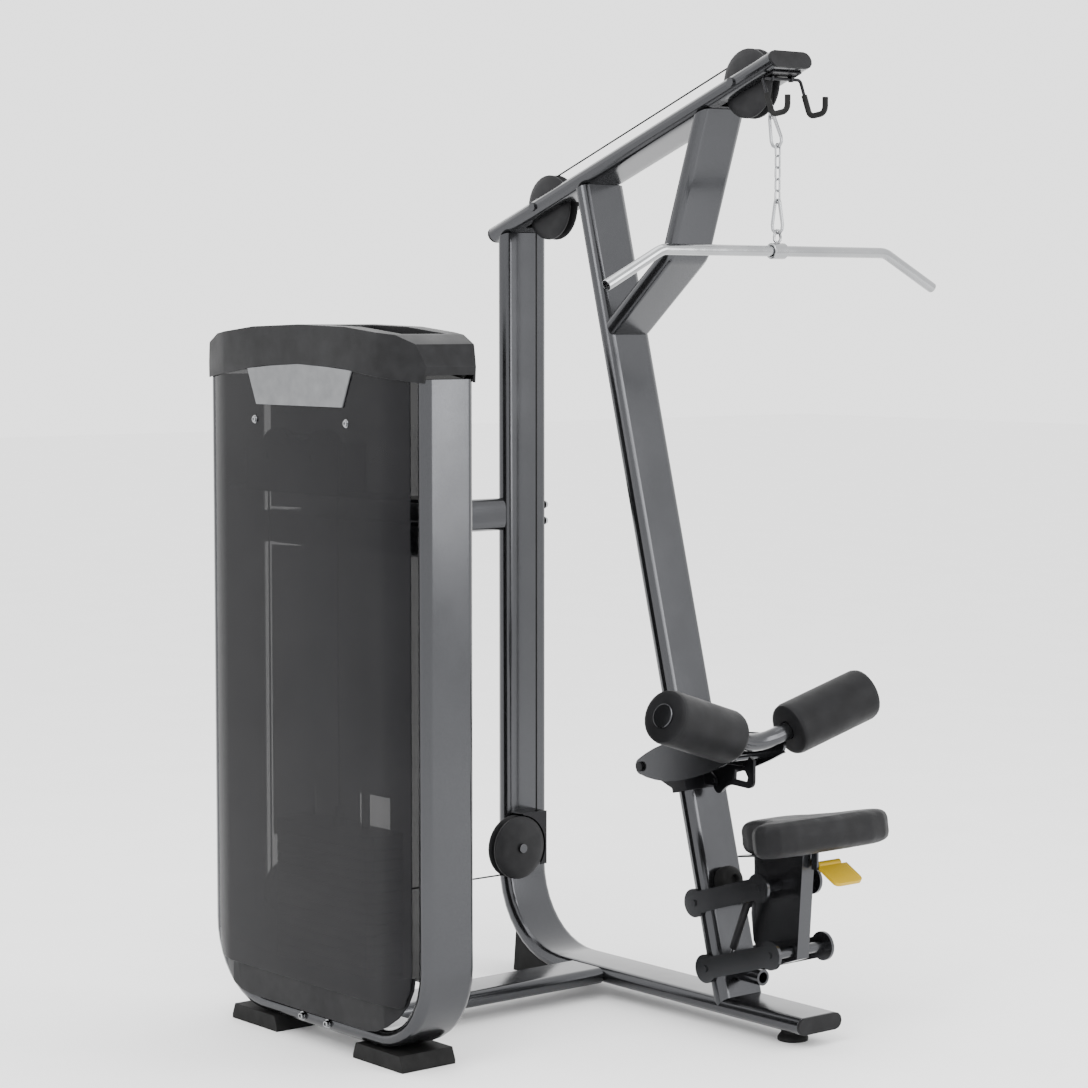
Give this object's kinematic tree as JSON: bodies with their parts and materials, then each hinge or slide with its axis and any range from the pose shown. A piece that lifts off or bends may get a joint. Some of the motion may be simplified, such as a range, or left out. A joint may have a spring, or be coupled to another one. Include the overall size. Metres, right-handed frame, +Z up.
{
  "type": "lat pulldown machine",
  "caption": "Cable pulldown strength machine: weight tower, leaning mast and top arm with bar, hinged thigh rollers and linkage seat.",
  "frame": {"origin": "centre of the plan bounding box, on the floor", "axes": "+X towards the user end (seat and bar), +Z up, weight tower towards -Y"},
  "size_m": [1.2318, 1.438, 2.28],
  "materials": {
    "gunmetal": "gloss",
    "dark_paint": "satin",
    "smoked": "gloss",
    "black_plastic": "satin",
    "pulley": "satin",
    "chrome": "polished",
    "steel": "satin",
    "iron": "matt",
    "rubber": "matt",
    "vinyl": "satin",
    "yellow": "satin"
  },
  "bodies": {
    "frame": {"column_and_base_tube": "gunmetal", "mast_tube": "gunmetal", "branch_strut": "gunmetal", "top_arm_tube": "gunmetal", "tower_frame_tube": "gunmetal", "tower_cross_member": "gunmetal", "upper_cross_tube": "gunmetal", "lower_cross_tube": "gunmetal", "column_pulley_guard": "dark_paint", "thigh_pad_bracket": "dark_paint", "bar_hook_rack": "dark_paint", "tower_pulley_header": "dark_paint", "tower_front_shield": "smoked", "tower_rear_shield": "smoked", "arm_rear_cap": "black_plastic", "arm_front_cap": "black_plastic", "base_end_cap": "black_plastic", "tower_cap": "black_plastic", "tower_base_cover": "black_plastic", "guide_rod_left": "chrome", "guide_rod_right": "chrome", "weight_plates_resting": "iron", "tower_foot_left": "rubber", "tower_foot_right": "rubber", "front_foot": "rubber", "rear_foot": "rubber", "stack_bumper_left": "rubber", "stack_bumper_right": "rubber", "hook_sleeve_left": "rubber", "hook_sleeve_right": "rubber", "seat_bump_stop": "rubber", "cable_main_run": "rubber", "cable_stack_run": "rubber", "cable_bar_run": "rubber"},
    "selected_stack": {"weight_plates_selected": "iron", "stack_head_plate": "iron"},
    "selector": {"selector_pin": "chrome"},
    "bar_line": {"cable_end_eye": "steel", "carabiner_upper": "steel", "chain": "steel", "carabiner_lower": "steel"},
    "bar": {"bar_hub": "chrome", "lat_bar": "chrome"},
    "pulley_a": {"pulley_arm_rear": "pulley"},
    "pulley_b": {"pulley_arm_front": "pulley"},
    "pulley_c": {"pulley_column": "pulley"},
    "pulley_d": {"pulley_tower_low": "pulley"},
    "pulley_e": {"pulley_tower_left": "pulley"},
    "pulley_f": {"pulley_tower_right": "pulley"},
    "seat_arm_upper": {"seat_link_upper": "gunmetal"},
    "seat_arm_lower": {"seat_link_lower": "gunmetal"},
    "seat": {"seat_post": "gunmetal", "seat_cushion": "vinyl"},
    "lever": {"seat_release_lever": "yellow"},
    "gas_rod": {"gas_spring_rod": "chrome"},
    "gas_body": {"gas_spring_body": "black_plastic"},
    "thigh_hold": {"thigh_arm": "gunmetal"},
    "roller_left": {"thigh_roller_left": "vinyl"},
    "roller_right": {"thigh_roller_right": "vinyl"},
    "handle": {"thigh_release_handle": "dark_paint"}
  },
  "joints": [
    {"name": "stack_lift", "type": "slide", "parent": "frame", "child": "selected_stack", "axis": [0, 0, 1], "range_m": [0, 0.6], "deforming": ["cable_stack_run"]},
    {"name": "bar_drop", "type": "slide", "parent": "frame", "child": "bar_line", "axis": [0, 0, -1], "range_m": [0, 0.6], "deforming": ["cable_bar_run"]},
    {"name": "bar_swivel", "type": "hinge", "parent": "bar_line", "child": "bar", "pos_m": [0.40312, 0.20047, 1.85], "axis": [0, 0, 1], "range_deg": [-20, 20]},
    {"name": "selector_pin_pull", "type": "slide", "parent": "selected_stack", "child": "selector", "axis": [0, 1, 0], "range_m": [0, 0.018]},
    {"name": "pulley_arm_rear_spin", "type": "hinge", "parent": "frame", "child": "pulley_a", "pos_m": [-0.40188, 0.20047, 1.937], "axis": [0, 1, 0], "continuous": true},
    {"name": "pulley_arm_front_spin", "type": "hinge", "parent": "frame", "child": "pulley_b", "pos_m": [0.31512, 0.20047, 2.2], "axis": [0, 1, 0], "continuous": true},
    {"name": "pulley_column_spin", "type": "hinge", "parent": "frame", "child": "pulley_c", "pos_m": [-0.46788, 0.13447, 0.325], "axis": [1, 0, 0], "continuous": true},
    {"name": "pulley_tower_low_spin", "type": "hinge", "parent": "frame", "child": "pulley_d", "pos_m": [-0.46788, -0.56103, 0.309], "axis": [1, 0, 0], "continuous": true},
    {"name": "pulley_tower_left_spin", "type": "hinge", "parent": "frame", "child": "pulley_e", "pos_m": [-0.41788, -0.61153, 1.345], "axis": [0, 1, 0], "continuous": true},
    {"name": "pulley_tower_right_spin", "type": "hinge", "parent": "frame", "child": "pulley_f", "pos_m": [-0.23888, -0.61153, 1.345], "axis": [0, 1, 0], "continuous": true},
    {"name": "seat_lift", "type": "hinge", "parent": "frame", "child": "seat_arm_upper", "pos_m": [0.22602, 0.20047, 0.292], "axis": [0, 1, 0], "range_deg": [-10, 5]},
    {"name": "seat_lower_link", "type": "hinge", "parent": "frame", "child": "seat_arm_lower", "pos_m": [0.26592, 0.20047, 0.1422], "axis": [0, 1, 0], "range_deg": [-10, 5]},
    {"name": "seat_level", "type": "hinge", "parent": "seat_arm_upper", "child": "seat", "pos_m": [0.44262, 0.20047, 0.3599], "axis": [0, 1, 0], "range_deg": [-5, 10]},
    {"name": "seat_lever", "type": "hinge", "parent": "seat", "child": "lever", "pos_m": [0.53312, 0.20047, 0.414], "axis": [0, 1, 0], "range_deg": [-10, 0], "stiffness_Nm_per_rad": 2, "springref_deg": 5.73},
    {"name": "gas_rod_tilt", "type": "hinge", "parent": "frame", "child": "gas_rod", "pos_m": [0.30112, 0.15247, 0.152], "axis": [0, 1, 0], "range_deg": [-7.8, 3.9]},
    {"name": "gas_spring_extend", "type": "slide", "parent": "gas_rod", "child": "gas_body", "axis": [0.39, 0, 0.9208], "range_m": [-0.0151, 0.0301]},
    {"name": "thigh_hold_raise", "type": "hinge", "parent": "frame", "child": "thigh_hold", "pos_m": [0.02912, 0.20047, 0.592], "axis": [0, -1, 0], "range_deg": [0, 18]},
    {"name": "roller_left_spin", "type": "hinge", "parent": "thigh_hold", "child": "roller_left", "pos_m": [0.34112, 0.20047, 0.67], "axis": [0.1117, -0.947, 0.3011], "continuous": true},
    {"name": "roller_right_spin", "type": "hinge", "parent": "thigh_hold", "child": "roller_right", "pos_m": [0.34112, 0.20047, 0.67], "axis": [0.1117, 0.947, 0.3011], "continuous": true},
    {"name": "thigh_latch", "type": "hinge", "parent": "frame", "child": "handle", "pos_m": [0.21112, 0.20047, 0.573], "axis": [0, 1, 0], "range_deg": [0, 6], "stiffness_Nm_per_rad": 12, "springref_deg": -4.58}
  ],
  "couplings": [
    {"joint": "bar_drop", "follows": "stack_lift", "ratio": 1},
    {"joint": "pulley_arm_rear_spin", "follows": "stack_lift", "rad_per_m": 15.152},
    {"joint": "pulley_arm_front_spin", "follows": "stack_lift", "rad_per_m": 15.152},
    {"joint": "pulley_column_spin", "follows": "stack_lift", "rad_per_m": 15.152},
    {"joint": "pulley_tower_low_spin", "follows": "stack_lift", "rad_per_m": 20},
    {"joint": "pulley_tower_left_spin", "follows": "stack_lift", "rad_per_m": -20},
    {"joint": "pulley_tower_right_spin", "follows": "stack_lift", "rad_per_m": -20},
    {"joint": "seat_lower_link", "follows": "seat_lift", "ratio": 1},
    {"joint": "seat_level", "follows": "seat_lift", "ratio": -1},
    {"joint": "gas_rod_tilt", "follows": "seat_lift", "ratio": 0.775},
    {"joint": "gas_spring_extend", "follows": "seat_lift", "m_per_rad": -0.1715}
  ]
}
